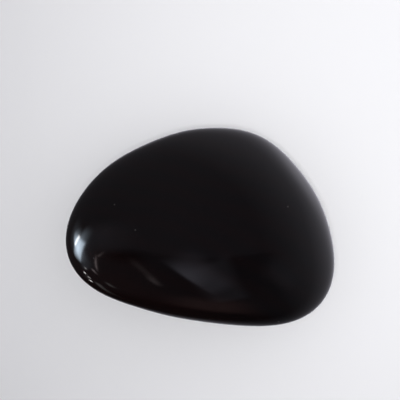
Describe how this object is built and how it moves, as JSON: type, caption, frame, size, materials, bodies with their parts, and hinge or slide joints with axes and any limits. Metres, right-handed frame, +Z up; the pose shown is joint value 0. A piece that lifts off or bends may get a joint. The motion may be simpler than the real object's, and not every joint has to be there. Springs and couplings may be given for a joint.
{
  "type": "rainbow obsidian freeform",
  "caption": "Hand-polished pebble of black volcanic glass with a low domed face, a thick heel, a narrow nose and a deep round back on a small flat.",
  "frame": {"origin": "middle of the underside of the bounding box, in the plane of the flat that the stone rests on", "axes": "+Z up through the domed show face, X along the stone's length with the narrow nose towards -X, Y across it with the long straight side towards -Y"},
  "size_m": [0.1006, 0.0744, 0.0377],
  "materials": {
    "obsidian": "mirror-polished black volcanic glass"
  },
  "bodies": {
    "root": {"stone": "obsidian"}
  },
  "joints": []
}
